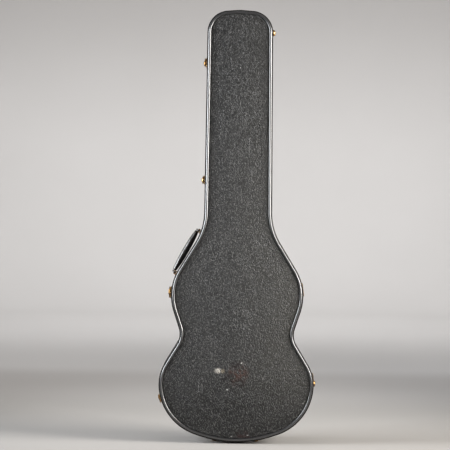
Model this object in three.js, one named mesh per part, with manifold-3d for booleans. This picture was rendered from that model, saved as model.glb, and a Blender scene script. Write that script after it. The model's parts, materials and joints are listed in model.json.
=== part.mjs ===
// Hard-shell case for a resonator guitar: closed, standing on its four tail feet.
// Millimetres. +Z runs from the tail to the head, the lid faces -Y, and the hinges are on the +X side.
// The case is laid out with its tail tip near z = 0, then the whole group is raised by FOOT_LIFT.

import * as THREE from 'three';
import { mergeVertices } from 'three/addons/utils/BufferGeometryUtils.js';
import Module from 'manifold-3d';

const wasm = await Module();
wasm.setup();

// ---- Driving dimensions ----------------------------------------------------------------------------

// Right half of the outline as a polyline from the head's crown to the tail, each corner with its radius.
const OUTLINE = [
  { x: 0, z: 1082, r: 40 },      // head crown
  { x: 82, z: 1076, r: 54 },     // head corner
  { x: 85.5, z: 533, r: 148 },   // neck runs into the shoulder
  { x: 178, z: 382, r: 129 },    // upper bout
  { x: 138.5, z: 263, r: 48 },   // waist
  { x: 200, z: 162, r: 105 },    // lower bout
  { x: 177, z: 42, r: 133 },     // tail corner
  { x: 0, z: -15, r: 290 },      // tail
];
const UPPER_BOUT = 3;            // corner numbers of the two bouts that the hinge line touches
const LOWER_BOUT = 5;
const CHORD_ERROR = 0.5;         // how far the faceted outline may leave the true arcs
const FINE_CHORD_ERROR = 1e-4;   // the same where a place on the outline is looked up

const FACE = 60;                 // the flat lid and back faces are at y = -FACE and +FACE
const SEAM = -30;                // where the lid meets the body
const GAP = 0.3;                 // clearance between neighbouring pieces
const WALL = 5;                  // bent plywood side wall with its covering
const WALL_JOINT = 577;          // height where the neck's wall strip meets the strip round the bouts
const PANEL = 5;                 // lid and back panels
const BEAD = { from: 3.3, to: 9, proud: 2.3 };        // piping round both faces: insets and height
const LIP = { thickness: 3, above: 6, below: 12 };    // tongue that lines the lid up with the body
const PAD = 5.7;                 // flat padding on the back panel and in the lid
const BOUT_PADDING = 14;         // cavity wall, measured in from the outline, round the bouts
const FOOT_LIFT = 4;             // the feet hold the tail tip this far off the floor

// The cavity narrows to a channel for the neck and the head.
const CHANNEL_HALF_WIDTH = 54;
const CHANNEL = [
  { x: 0, z: 1068, r: 20 },
  { x: CHANNEL_HALF_WIDTH, z: 1067, r: 22 },
  { x: CHANNEL_HALF_WIDTH, z: 560, r: 40 },
];

const CRADLE = { z: 850, length: 26, top: 0, notchHalfWidth: 31, notchDepth: 24 };
const POCKET = { low: 607, high: 668, wall: 4, top: 18, lid: 3, hingeZ: 670, tab: 16 };

const HINGE = { standOff: 0.4, halfLength: 16, leaf: 1, leafDepth: 20, barrel: 2.3, bore: 1.3, pin: 1 };

// Draw latches; the one beside the handle is wider than the others. Distances are from the wall and the seam.
const LATCHES = {
  head: { z: 952, halfWidth: 11 },
  neck: { z: 656, halfWidth: 11 },
  upper_bout: { z: 372, halfWidth: 15 },
  lower_bout: { z: 105, halfWidth: 11 },
};
const LATCH_BASE = { front: 3, back: 30, plate: 1, lugHalf: 1.4, lugHalfWidth: 3.2 };
const LEVER_PIN = { x: 3.8, y: 8, radius: 1, bore: 1.3 };
const LINK_ROD = { x: 4.6, y: 15, radius: 0.9, bore: 1.2 };
const LEVER = { inset: 3, end: 29, crown: 8.6, drop: 3, sheet: 1.1, cheek: 3.6, cheekRadius: 2.1 };
const LINK = { inset: 1.1, wire: 1.5, hookEnd: -9, hookDepth: 3 };
const CATCH = { front: -15, back: -1.5, ridge: 3.3, ridgeFront: -5.5, ridgeBack: -3.5, ridgeInset: 2 };

// Carrying handle: a padded grip between two straps that loop over the pins of its brackets.
const HANDLE = { low: 417, high: 527, y: -6, endZ: 61 };
const GRIP = { x: 9.6, drop: 38, halfLength: 58, depthScale: 1.2 };
const GRIP_PROFILE = [[0, -58], [4.6, -58], [6.9, -49], [8, -28], [8.3, -9]];
const STRAP = { radius: 4.2, halfThickness: 2.4 };
const BRACKET = { pin: 1.5, pinX: 6, plate: 1.2, halfWidth: 6, halfDepth: 9, ear: 2, earFrom: 2.8, earHalf: 2.2 };

const FOOT = { radius: 9, height: 8.5, flat: 3.5 };
// Radius and height of the dome's facets, as shares of the whole.
const DOME = [[1, 0], [1, 0.2], [0.86, 0.55], [0.64, 0.84]];
const SPINE_FEET = { head: 1035, bout: 140 };
const SPINE_FOOT_Y = 15;
const TAIL_FOOT_X = 52;
const TAIL_FOOT_Y = { front: -19, back: 48 };

// ---- Materials -------------------------------------------------------------------------------------

const finish = (color, roughness, metalness = 0) =>
  new THREE.MeshStandardMaterial({ color, roughness, metalness });
const vinyl = finish(0x3f4144, 0.55);
const sideVinyl = finish(0x232325, 0.4);
const piping = finish(0x2b2b2e, 0.25);
const brass = finish(0x9a6a2e, 0.35, 1);
const plush = finish(0x6b1420, 0.95);
const wood = finish(0x8a6a45, 0.7);
const gripLeather = finish(0x1d1816, 0.3);

// ---- Solids: closed geometries, joins and cuts ------------------------------------------------------

function toSolid(geometry) {
  const bare = geometry.clone();
  bare.deleteAttribute('normal');
  bare.deleteAttribute('uv');
  const merged = mergeVertices(bare, 1e-4);
  const vertProperties = new Float32Array(merged.attributes.position.array);
  const triVerts = new Uint32Array(merged.index.array);
  return new wasm.Manifold(new wasm.Mesh({ numProp: 3, vertProperties, triVerts }));
}

function toGeometry(solid) {
  const mesh = solid.getMesh();
  const geometry = new THREE.BufferGeometry();
  geometry.setAttribute('position', new THREE.BufferAttribute(mesh.vertProperties, 3));
  geometry.setIndex(new THREE.BufferAttribute(mesh.triVerts, 1));
  return geometry;
}

function join(...geometries) {
  return toGeometry(geometries.map(toSolid).reduce((whole, piece) => whole.add(piece)));
}

function cut(geometry, ...tools) {
  return toGeometry(tools.map(toSolid).reduce((whole, tool) => whole.subtract(tool), toSolid(geometry)));
}

const piece = (name, geometry, material) => {
  const mesh = new THREE.Mesh(geometry, material);
  mesh.name = name;
  return mesh;
};

// ---- Outlines --------------------------------------------------------------------------------------

// Mirrors the right half, so the corners run clockwise round the whole case.
function wholeOutline(half) {
  const left = half.slice(1, -1).reverse().map(({ x, z, r }) => ({ x: -x, z, r }));
  return [...half, ...left];
}

// One arc for each corner: centre, radius, first angle and sweep, and whether it bulges outwards.
function cornerArcs(corners) {
  return corners.map(({ x, z, r }, i) => {
    const here = new THREE.Vector2(x, z);
    const before = corners.at(i - 1);
    const after = corners[(i + 1) % corners.length];
    const back = new THREE.Vector2(before.x, before.z).sub(here).normalize();
    const ahead = new THREE.Vector2(after.x, after.z).sub(here).normalize();
    const halfAngle = Math.acos(back.dot(ahead)) / 2;
    const toCentre = back.clone().add(ahead).normalize().multiplyScalar(r / Math.sin(halfAngle));
    const centre = here.clone().add(toCentre);
    const turn = Math.PI - 2 * halfAngle;
    const convex = back.cross(ahead) > 0;
    const start = here.clone().addScaledVector(back, r / Math.tan(halfAngle)).sub(centre).angle();
    return { centre, r, start, sweep: convex ? -turn : turn, convex };
  });
}

// Points with outward normals, clockwise from the head's crown.
function roundedOutline(half, chordError = CHORD_ERROR) {
  const points = [];
  for (const { centre, r, start, sweep, convex } of cornerArcs(wholeOutline(half))) {
    const steps = Math.max(1, Math.round(Math.abs(sweep) / (2 * Math.acos(1 - chordError / r))));
    for (let i = 0; i <= steps; i++) {
      const angle = start + sweep * i / steps;
      const radial = new THREE.Vector2(Math.cos(angle), Math.sin(angle));
      const point = centre.clone().addScaledVector(radial, r);
      const normal = convex ? radial : radial.negate();
      points.push({ x: point.x, z: point.y, nx: normal.x, nz: normal.y });
    }
  }
  return points;
}

// Moves the corners of a half outline inwards by a constant distance.
function insetCorners(half, inset) {
  const arcs = cornerArcs(wholeOutline(half));
  return half.map(({ r }, i) => {
    const { centre, convex } = arcs[i];
    const step = convex ? inset : -inset;
    const corner = new THREE.Vector2(half[i].x, half[i].z).lerp(centre, step / r);
    return { x: corner.x, z: corner.y, r: r - step };
  });
}

const outline = roundedOutline(OUTLINE);
const cavityCorners = [...CHANNEL, ...insetCorners(OUTLINE, BOUT_PADDING).slice(UPPER_BOUT)];
const cavity = roundedOutline(cavityCorners);

function shapeOf(points, inset = 0) {
  return new THREE.Shape(points.map((p) => new THREE.Vector2(p.x - inset * p.nx, p.z - inset * p.nz)));
}

// Extrudes a shape drawn in X and Z through the depth from front to back along Y.
function slab(shape, front, back, curveSegments = 8) {
  const options = { depth: back - front, bevelEnabled: false, curveSegments };
  const geometry = new THREE.ExtrudeGeometry(shape, options);
  return geometry.rotateX(Math.PI / 2).translate(0, back, 0);
}

// Sweeps a closed section of [inset, y] points round the case's outline.
function rimRing(section) {
  const positions = [];
  const indices = [];
  const rows = outline.length;
  const columns = section.length;
  for (const p of outline) {
    for (const [inset, y] of section) {
      positions.push(p.x - inset * p.nx, y, p.z - inset * p.nz);
    }
  }
  for (let i = 0; i < rows; i++) {
    for (let j = 0; j < columns; j++) {
      const next = (j + 1) % columns;
      const here = i * columns;
      const ahead = ((i + 1) % rows) * columns;
      indices.push(here + j, ahead + j, here + next, here + next, ahead + j, ahead + next);
    }
  }
  const geometry = new THREE.BufferGeometry();
  geometry.setAttribute('position', new THREE.Float32BufferAttribute(positions, 3));
  geometry.setIndex(indices);
  return geometry;
}

// A rectangular section; the corners run so that the ring's faces point outwards.
function wallRing(outer, inner, front, back) {
  return rimRing([[outer, front], [outer, back], [inner, back], [inner, front]]);
}

// ---- Local frames on the side wall ------------------------------------------------------------------

// The place where the outline crosses a wanted height, on the side with the given sign of x.
function rimAtHeight(z, side) {
  const fine = roundedOutline(OUTLINE, FINE_CHORD_ERROR);
  const crossings = fine.flatMap((p, i) => {
    const q = fine[(i + 1) % fine.length];
    const t = (z - p.z) / (q.z - p.z);
    return t >= 0 && t <= 1 ? [{ ...p, x: p.x + t * (q.x - p.x), z }] : [];
  });
  return crossings.find((p) => p.x * side > 0);
}

// The straight line between two places on the rim, used as a place of its own.
function rimChord(low, high, side) {
  const along = new THREE.Vector2(high.x - low.x, high.z - low.z).normalize();
  const middle = { x: (low.x + high.x) / 2, z: (low.z + high.z) / 2 };
  return { ...middle, nx: side * along.y, nz: -side * along.x };
}

// A group with local X out of the wall, local Y towards the back and local Z along the rim.
function frameOnRim({ x, z, nx, nz }, y) {
  const out = new THREE.Vector3(nx, 0, nz);
  const depth = new THREE.Vector3(0, 1, 0);
  const along = new THREE.Vector3().crossVectors(out, depth);
  const group = new THREE.Group();
  group.quaternion.setFromRotationMatrix(new THREE.Matrix4().makeBasis(out, depth, along));
  group.position.set(x, y, z);
  group.updateMatrix();
  return group;
}

const block = (x0, x1, y0, y1, z0, z1) =>
  new THREE.BoxGeometry(x1 - x0, y1 - y0, z1 - z0)
    .translate((x0 + x1) / 2, (y0 + y1) / 2, (z0 + z1) / 2);

const rod = (x, y, radius, z0, z1, sides = 12) =>
  new THREE.CylinderGeometry(radius, radius, z1 - z0, sides)
    .rotateX(Math.PI / 2).translate(x, y, (z0 + z1) / 2);

// A bar with round ends between two points of the local XY plane, extruded along Z.
function capsule(a, b, radius, z0, z1) {
  const angle = Math.atan2(b.y - a.y, b.x - a.x);
  const shape = new THREE.Shape();
  shape.absarc(b.x, b.y, radius, angle - Math.PI / 2, angle + Math.PI / 2);
  shape.absarc(a.x, a.y, radius, angle + Math.PI / 2, angle + 3 * Math.PI / 2);
  const options = { depth: z1 - z0, bevelEnabled: false, curveSegments: 4 };
  return new THREE.ExtrudeGeometry(shape, options).translate(0, 0, z0);
}

// ---- Shell: the same pieces for the lid (side -1) and the body (side +1) -----------------------------

function hingeLine() {
  const arcs = cornerArcs(wholeOutline(OUTLINE));
  const upper = arcs[UPPER_BOUT];
  const lower = arcs[LOWER_BOUT];
  const across = upper.centre.clone().sub(lower.centre);
  const angle = across.angle() - Math.acos((lower.r - upper.r) / across.length());
  const normal = new THREE.Vector2(Math.cos(angle), Math.sin(angle));
  const touch = ({ centre, r }) => {
    const point = centre.clone().addScaledVector(normal, r + HINGE.standOff);
    return { x: point.x, z: point.y, nx: normal.x, nz: normal.y };
  };
  return { upper_bout: touch(upper), lower_bout: touch(lower) };
}

const hingePlaces = hingeLine();

// Round grooves in the wall's seam edge, where the hinge barrels lie.
function barrelGrooves() {
  const reach = HINGE.halfLength + 1;
  return Object.values(hingePlaces).map((place) => {
    const frame = frameOnRim(place, SEAM);
    return rod(0, 0, HINGE.barrel + 2 * GAP, -reach, reach).applyMatrix4(frame.matrix);
  });
}

// Each side wall is two bent strips: one round the neck and the head, one round the bouts and the tail.
function sideWalls(name, side) {
  const seamEdge = SEAM + side * GAP / 2;
  const depths = side > 0 ? [seamEdge, FACE] : [-FACE, seamEdge];
  const whole = cut(wallRing(0, WALL, ...depths), ...barrelGrooves());
  const reach = OUTLINE[0].z + WALL;
  const within = (low, high) => block(-reach, reach, -reach, reach, low, high);
  return [
    piece(`${name}_neck_wall`, cut(whole, within(-reach, WALL_JOINT + GAP / 2)), sideVinyl),
    piece(`${name}_bout_wall`, cut(whole, within(WALL_JOINT - GAP / 2, reach)), sideVinyl),
  ];
}

function panel(side) {
  const depths = side > 0 ? [FACE - PANEL, FACE] : [-FACE, PANEL - FACE];
  return slab(shapeOf(outline, BEAD.to + GAP), ...depths);
}

// Piping: a half-round head on top of the wall's edge, and a stem between the wall and the panel.
function binding(side) {
  const { from, to, proud } = BEAD;
  const seat = FACE + GAP;
  const height = proud - GAP;
  const middle = (from + to) / 2;
  const section = [
    [WALL + GAP, FACE - PANEL], [WALL + GAP, seat], [from, seat],
    [from + 0.8, seat + 0.7 * height], [middle, seat + height], [to - 0.8, seat + 0.7 * height],
    [to, FACE - PANEL],
  ];
  const turned = section.map(([inset, y]) => [inset, side * y]);
  return rimRing(side > 0 ? turned : turned.reverse());
}

function shell() {
  const seamFront = SEAM - LIP.above;
  const seamBack = SEAM + LIP.below;
  const padFront = FACE - PANEL - GAP - PAD;
  const padBack = FACE - PANEL - GAP;
  const lip = wallRing(WALL + GAP, WALL + GAP + LIP.thickness, seamFront, seamBack);
  const sides = cut(
    slab(shapeOf(outline, WALL + GAP), seamBack + GAP, padBack),
    slab(shapeOf(cavity), SEAM, FACE),
  );
  return [
    piece('body_panel', panel(1), vinyl),
    ...sideWalls('body', 1),
    piece('body_binding', binding(1), piping),
    piece('body_lip', lip, wood),
    piece('body_side_padding', sides, plush),
    piece('body_floor_padding', slab(shapeOf(cavity, GAP), padFront, padBack), plush),
    piece('lid_panel', panel(-1), vinyl),
    ...sideWalls('lid', -1),
    piece('lid_binding', binding(-1), piping),
    piece('lid_padding', slab(shapeOf(outline, BEAD.to + GAP), -padBack, -padFront), plush),
  ];
}

// ---- Inside: neck cradle and accessory pocket --------------------------------------------------------

const floorTop = FACE - PANEL - PAD - 2 * GAP;
const channelHalf = CHANNEL_HALF_WIDTH - GAP;

function neckCradle() {
  const { z, length, top, notchHalfWidth, notchDepth } = CRADLE;
  const shape = new THREE.Shape();
  shape.moveTo(-channelHalf, top);
  shape.lineTo(-channelHalf, floorTop);
  shape.lineTo(channelHalf, floorTop);
  shape.lineTo(channelHalf, top);
  shape.absellipse(0, top, notchHalfWidth, notchDepth, 0, Math.PI);
  const options = { depth: length, bevelEnabled: false, curveSegments: 12 };
  return new THREE.ExtrudeGeometry(shape, options).translate(0, 0, z);
}

function pocket() {
  const { low, high, wall, top, lid, hingeZ, tab } = POCKET;
  const crossWall = (z) => block(-channelHalf, channelHalf, top, floorTop, z, z + wall);
  const lidBack = top - GAP;
  const lidHalf = channelHalf - 2;
  const lidLow = low + wall / 2;
  const tabBack = lidBack - lid - GAP;
  return [
    piece('pocket_wall_lower', crossWall(low), wood),
    piece('pocket_wall_upper', crossWall(high), wood),
    piece('pocket_lid', block(-lidHalf, lidHalf, lidBack - lid, lidBack, lidLow, hingeZ - GAP), plush),
    piece('pocket_pull_tab', block(-tab / 2, tab / 2, tabBack - 1.5, tabBack, lidLow, lidLow + 20), gripLeather),
  ];
}

// ---- Hinges ------------------------------------------------------------------------------------------

// A leaf on the side wall with its knuckles round the pin; each knuckle spans one stretch of the axis.
function hingeLeaf(side, knuckles) {
  const { standOff, halfLength, leaf, leafDepth, barrel, bore } = HINGE;
  const x0 = GAP - standOff;
  const depths = (near, far) => (side > 0 ? [near, far] : [-far, -near]);
  const parts = [block(x0, x0 + leaf, ...depths(barrel + GAP, leafDepth), -halfLength, halfLength)];
  for (const [z0, z1] of knuckles) {
    parts.push(rod(0, 0, barrel, z0, z1));
    parts.push(block(x0, x0 + leaf, ...depths(barrel / 2, barrel + 1), z0, z1));
  }
  return cut(join(...parts), rod(0, 0, bore, -halfLength - 1, halfLength + 1));
}

function hinge(name, place) {
  const { halfLength, pin } = HINGE;
  const third = halfLength / 2;
  const frame = frameOnRim(place, SEAM);
  const bodyKnuckles = [[-halfLength, -third - GAP / 2], [third + GAP / 2, halfLength]];
  frame.add(
    piece(`hinge_${name}_body_leaf`, hingeLeaf(1, bodyKnuckles), brass),
    piece(`hinge_${name}_lid_leaf`, hingeLeaf(-1, [[-third + GAP / 2, third - GAP / 2]]), brass),
    piece(`hinge_${name}_pin`, rod(0, 0, pin, -halfLength - 0.5, halfLength + 0.5), brass),
  );
  return frame;
}

// ---- Latches: base and lever on the body, link on the lever, catch on the lid --------------------------

function latchBase(halfWidth) {
  const { front, back, plate, lugHalf, lugHalfWidth } = LATCH_BASE;
  const { x, y, radius } = LEVER_PIN;
  const pinHalf = halfWidth - LEVER.inset - 1;
  return join(
    block(GAP, GAP + plate, front, back, -halfWidth, halfWidth),
    block(GAP, x + radius + GAP, y - lugHalf, y + lugHalf, -lugHalfWidth, lugHalfWidth),
    rod(x, y, radius, -pinHalf, pinHalf),
  );
}

// A sheet bowed across its width, with two cheeks that carry the base's pin and the link's rod.
function latchLever(halfWidth) {
  const { inset, end, crown, drop, sheet, cheek, cheekRadius } = LEVER;
  const half = halfWidth - inset;
  const bow = new THREE.Shape();
  bow.moveTo(crown - drop, -half);
  bow.quadraticCurveTo(crown + drop, 0, crown - drop, half);
  bow.lineTo(crown - drop - sheet, half);
  bow.quadraticCurveTo(crown + drop - sheet, 0, crown - drop - sheet, -half);
  const side = (z0, z1) => join(
    capsule(LEVER_PIN, LINK_ROD, cheekRadius, z0, z1),
    block(LEVER_PIN.x, crown - drop - sheet / 2, LEVER_PIN.y, LINK_ROD.y + 2, z0, z1),
  );
  return cut(
    join(slab(bow, LEVER_PIN.y, end), side(-half, cheek - half), side(half - cheek, half)),
    rod(LEVER_PIN.x, LEVER_PIN.y, LEVER_PIN.bore, -halfWidth, halfWidth),
    rod(LINK_ROD.x, LINK_ROD.y, LINK_ROD.bore, -halfWidth, halfWidth),
  );
}

function latchLink(halfWidth) {
  const { inset, wire, hookEnd, hookDepth } = LINK;
  const { x, y, radius } = LINK_ROD;
  const half = halfWidth - inset;
  const tip = { x, y: hookEnd + 1 };
  return join(
    rod(x, y, radius, -half, half),
    capsule(LINK_ROD, tip, radius, -half, wire - half),
    capsule(LINK_ROD, tip, radius, half - wire, half),
    block(x - radius, x + radius, hookEnd, hookEnd + hookDepth, -half, half),
  );
}

// The ridge stays 0.4 mm under the link's bar, so the lid can slide out with the latch at rest.
function latchCatch(halfWidth) {
  const { front, back, ridge, ridgeFront, ridgeBack, ridgeInset } = CATCH;
  const ridgeHalf = halfWidth - ridgeInset;
  return join(
    block(GAP, GAP + LATCH_BASE.plate, front, back, -halfWidth, halfWidth),
    block(GAP, ridge, ridgeFront, ridgeBack, -ridgeHalf, ridgeHalf),
  );
}

function latch(name, { z, halfWidth }) {
  const frame = frameOnRim(rimAtHeight(z, -1), SEAM);
  frame.add(
    piece(`latch_${name}_base`, latchBase(halfWidth), brass),
    piece(`latch_${name}_lever`, latchLever(halfWidth), brass),
    piece(`latch_${name}_link`, latchLink(halfWidth), brass),
    piece(`latch_${name}_catch`, latchCatch(halfWidth), brass),
  );
  return frame;
}

// ---- Carrying handle, folded flat against the side wall ------------------------------------------------

function handleGrip() {
  const profile = [...GRIP_PROFILE, ...GRIP_PROFILE.map(([r, h]) => [r, -h]).reverse()];
  return new THREE.LatheGeometry(profile.map(([r, h]) => new THREE.Vector2(r, h)), 16)
    .rotateX(Math.PI / 2).scale(1, GRIP.depthScale, 1).translate(GRIP.x, GRIP.drop, 0);
}

// Each bracket's plate is trimmed to the curve of the wall under it.
function handleEnd(name, side, wall) {
  const { pin, pinX, plate, halfWidth, halfDepth, ear, earFrom, earHalf } = BRACKET;
  const { radius, halfThickness } = STRAP;
  const centre = side * HANDLE.endZ;
  const between = (a, b) => (side > 0 ? [centre + a, centre + b] : [centre - b, centre - a]);
  const eye = { x: pinX, y: 0 };
  const earTop = pinX + pin + GAP;
  const reach = earFrom + ear;
  const strap = cut(
    capsule(eye, { x: GRIP.x, y: GRIP.drop }, radius, ...between(-halfThickness, halfThickness)),
    rod(eye.x, eye.y, pin + GAP, ...between(-reach, reach)),
  );
  const bracket = cut(join(
    block(-halfDepth, GAP + plate, -halfDepth, halfDepth, ...between(-halfWidth, halfWidth)),
    block(GAP, earTop, -earHalf, earHalf, ...between(-reach, -earFrom)),
    block(GAP, earTop, -earHalf, earHalf, ...between(earFrom, reach)),
    rod(eye.x, eye.y, pin, ...between(-reach, reach)),
  ), wall);
  return [
    piece(`handle_strap_${name}`, strap, gripLeather),
    piece(`handle_bracket_${name}`, bracket, brass),
  ];
}

function handle() {
  const chord = rimChord(rimAtHeight(HANDLE.low, -1), rimAtHeight(HANDLE.high, -1), -1);
  const frame = frameOnRim(chord, HANDLE.y);
  const wall = slab(shapeOf(outline, -GAP), -FACE, FACE).applyMatrix4(frame.matrix.clone().invert());
  frame.add(
    piece('handle_grip', handleGrip(), gripLeather),
    ...handleEnd('lower', 1, wall),
    ...handleEnd('upper', -1, wall),
  );
  return frame;
}

// ---- Feet ----------------------------------------------------------------------------------------------

// A dome that stands out along local X, with a small flat at its tip.
function dome(height) {
  const { radius, flat } = FOOT;
  const side = DOME.map(([r, h]) => [r * radius, h * height]);
  const profile = [[0, 0], ...side, [flat, height], [0, height]];
  return new THREE.LatheGeometry(profile.map(([r, h]) => new THREE.Vector2(r, h)), 20).rotateZ(-Math.PI / 2);
}

function spineFoot(name, z) {
  const frame = frameOnRim(rimAtHeight(z, 1), SPINE_FOOT_Y);
  frame.add(piece(`spine_foot_${name}`, dome(FOOT.height).translate(GAP, 0, 0), brass));
  return frame;
}

// The tail feet stand straight down and are trimmed to the curve of the tail.
function tailFoot(name, x, y) {
  const height = FOOT_LIFT + FOOT.height;
  const upright = dome(height).rotateY(Math.PI / 2).translate(x, y, FOOT.height);
  return piece(`tail_foot_${name}`, cut(upright, slab(shapeOf(outline, -GAP), -FACE, FACE)), brass);
}

// ---- Assembly ------------------------------------------------------------------------------------------

const guitarCase = new THREE.Group();
guitarCase.add(...shell(), piece('neck_cradle', neckCradle(), plush), ...pocket());
for (const [name, place] of Object.entries(hingePlaces)) guitarCase.add(hinge(name, place));
for (const [name, place] of Object.entries(LATCHES)) guitarCase.add(latch(name, place));
guitarCase.add(handle());
for (const [name, z] of Object.entries(SPINE_FEET)) guitarCase.add(spineFoot(name, z));
for (const [depth, y] of Object.entries(TAIL_FOOT_Y)) {
  guitarCase.add(tailFoot(`${depth}_left`, -TAIL_FOOT_X, y), tailFoot(`${depth}_right`, TAIL_FOOT_X, y));
}
guitarCase.position.z = FOOT_LIFT;

export default guitarCase;
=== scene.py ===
"""Hard-shell guitar case, closed, standing on its tail feet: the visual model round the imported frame."""

import json
import math

import bmesh
import bpy
from mathutils import Matrix, Vector, noise
from mathutils.geometry import delaunay_2d_cdt
from mathutils.kdtree import KDTree


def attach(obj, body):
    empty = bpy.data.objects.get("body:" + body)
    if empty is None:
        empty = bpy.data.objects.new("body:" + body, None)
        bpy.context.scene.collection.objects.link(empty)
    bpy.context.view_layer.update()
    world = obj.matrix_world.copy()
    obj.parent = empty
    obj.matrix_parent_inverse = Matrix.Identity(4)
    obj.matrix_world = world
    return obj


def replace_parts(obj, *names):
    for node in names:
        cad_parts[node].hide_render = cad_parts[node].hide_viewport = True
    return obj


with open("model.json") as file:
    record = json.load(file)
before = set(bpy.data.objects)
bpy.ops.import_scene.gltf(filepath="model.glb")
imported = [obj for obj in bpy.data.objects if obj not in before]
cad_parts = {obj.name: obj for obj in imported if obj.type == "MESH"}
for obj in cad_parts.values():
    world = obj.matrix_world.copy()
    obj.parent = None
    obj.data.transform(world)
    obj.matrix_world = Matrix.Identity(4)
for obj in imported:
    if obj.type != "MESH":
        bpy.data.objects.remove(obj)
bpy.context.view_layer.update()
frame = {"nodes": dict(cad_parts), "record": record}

MM = 0.001

# ---- Driving dimensions, in millimetres, the same as the CAD part's ----------------------------------

# Right half of the outline: corners (x, z, radius) from the head's crown to the tail.
OUTLINE = [
    (0, 1082, 40), (82, 1076, 54), (85.5, 533, 148), (178, 382, 129),
    (138.5, 263, 48), (200, 162, 105), (177, 42, 133), (0, -15, 290),
]
UPPER_BOUT = 3
FOOT_LIFT = 4
FACE = 60
SEAM = -30
GAP = 0.3
WALL = 5
PANEL = 5
BEAD_FROM, BEAD_TO, BEAD_PROUD = 3.3, 9.0, 2.3
LIP_THICKNESS, LIP_ABOVE, LIP_BELOW = 3, 6, 12
PAD = 5.7
BOUT_PADDING = 14
CHANNEL_HALF_WIDTH = 54
CHANNEL = [(0, 1068, 20), (CHANNEL_HALF_WIDTH, 1067, 22), (CHANNEL_HALF_WIDTH, 560, 40)]

LATCHES = {"head": (952, 11), "neck": (656, 11), "upper_bout": (372, 15), "lower_bout": (105, 11)}
LEVER = {"inset": 3, "end": 29, "crown": 8.6, "drop": 3, "sheet": 1.1}
LEVER_EAR = {"pin": (3.8, 8), "rod": (4.6, 15), "radius": 2.1}
HINGE_STAND_OFF = 0.4
HINGE_BOUTS = {"upper_bout": 3, "lower_bout": 5}
HANDLE = {"low": 417, "high": 527, "y": -6, "end": 61, "pin_x": 6}
GRIP = {"x": 9.6, "drop": 38, "half": 58, "radius": 8.3, "depth_scale": 1.2}
STRAP_RADIUS = 4.2
FOOT = {"radius": 9, "height": 8.5, "flat": 3.5}
SPINE_FEET = {"head": 1035, "bout": 140}
SPINE_FOOT_Y = 15
TAIL_FOOT_X = 52
TAIL_FOOT_Y = {"front": -19, "back": 48}
CRADLE = {"z": 850, "length": 26, "half_width": 31, "depth": 24}
POCKET = {"low": 607, "high": 668, "wall": 4, "top": 18, "lid": 3, "hinge_z": 670, "tab": 16}
FLOOR_TOP = FACE - PANEL - PAD - 2 * GAP
CHANNEL_HALF = CHANNEL_HALF_WIDTH - GAP

# ---- Finer shapes, which only this model has ---------------------------------------------------------

ARC_ERROR = 0.02                            # how far the fine outline may leave the true arcs
STRAIGHT_STEP = 6.0                         # longest step along the outline's straights
POCKET_PADDING = {"roll": 1.4, "step": 4.5, "ripple": 0.3}
LEVER_FRONT = 7                             # a little before the plain sheet's edge in the CAD part
LEVER_ROLL = {"length": 5.5, "drop": 3.2}   # the lever's sheet turns down towards its front
LEVER_TAIL = {"length": 5, "drop": 0.9}     # and dips again at its free end
LEVER_EAR_THICKNESS = 1.0
GRIP_SEAM = {"angle": 95, "width": 9, "height": 0.35}
STITCH = {"count": 15, "angles": (78, 112), "half_length": 1.1, "half_width": 0.25, "radius": 0.28}


# ---- Outlines ----------------------------------------------------------------------------------------

def turns(start, end, steps):
    """Angles in radians from one number of degrees to another, both ends included."""
    return [math.radians(start + (end - start) * k / steps) for k in range(steps + 1)]


def whole(half):
    """The half outline's corners with their mirror images, clockwise from the head's crown."""
    return half + [(-x, z, r) for x, z, r in half[-2:0:-1]]


def corner_arcs(corners):
    """Centre, radius, first angle, sweep and bulge of each rounded corner."""
    arcs = []
    for i, (x, z, r) in enumerate(corners):
        here = Vector((x, z))
        back = (Vector(corners[i - 1][:2]) - here).normalized()
        ahead = (Vector(corners[(i + 1) % len(corners)][:2]) - here).normalized()
        half_angle = math.acos(back.dot(ahead)) / 2
        centre = here + (back + ahead).normalized() * (r / math.sin(half_angle))
        turn = math.pi - 2 * half_angle
        convex = back.x * ahead.y - back.y * ahead.x > 0
        first = here + back * (r / math.tan(half_angle)) - centre
        start = math.atan2(first.y, first.x)
        arcs.append((centre, r, start, -turn if convex else turn, convex))
    return arcs


def rounded(half):
    """Fine points (x, z) with outward normals round a whole outline."""
    points = []
    for centre, r, start, sweep, convex in corner_arcs(whole(half)):
        steps = max(2, math.ceil(abs(sweep) / (2 * math.acos(1 - ARC_ERROR / r))))
        for i in range(steps + 1):
            angle = start + sweep * i / steps
            radial = Vector((math.cos(angle), math.sin(angle)))
            points.append((centre + radial * r, radial if convex else -radial))
    fine = []
    for i, (point, normal) in enumerate(points):
        after = points[(i + 1) % len(points)][0]
        steps = max(1, math.ceil((after - point).length / STRAIGHT_STEP))
        fine += [(point.lerp(after, k / steps), normal) for k in range(steps)]
    return fine


def inset_corners(half, inset):
    """The half outline's corners after the whole outline is moved inwards."""
    moved = []
    for (x, z, r), (centre, _, _, _, convex) in zip(half, corner_arcs(whole(half))):
        step = inset if convex else -inset
        corner = Vector((x, z)).lerp(centre, step / r)
        moved.append((corner.x, corner.y, r - step))
    return moved


outline = rounded(OUTLINE)
cavity = rounded(CHANNEL + inset_corners(OUTLINE, BOUT_PADDING)[UPPER_BOUT:])


# ---- Meshes ------------------------------------------------------------------------------------------

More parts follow.
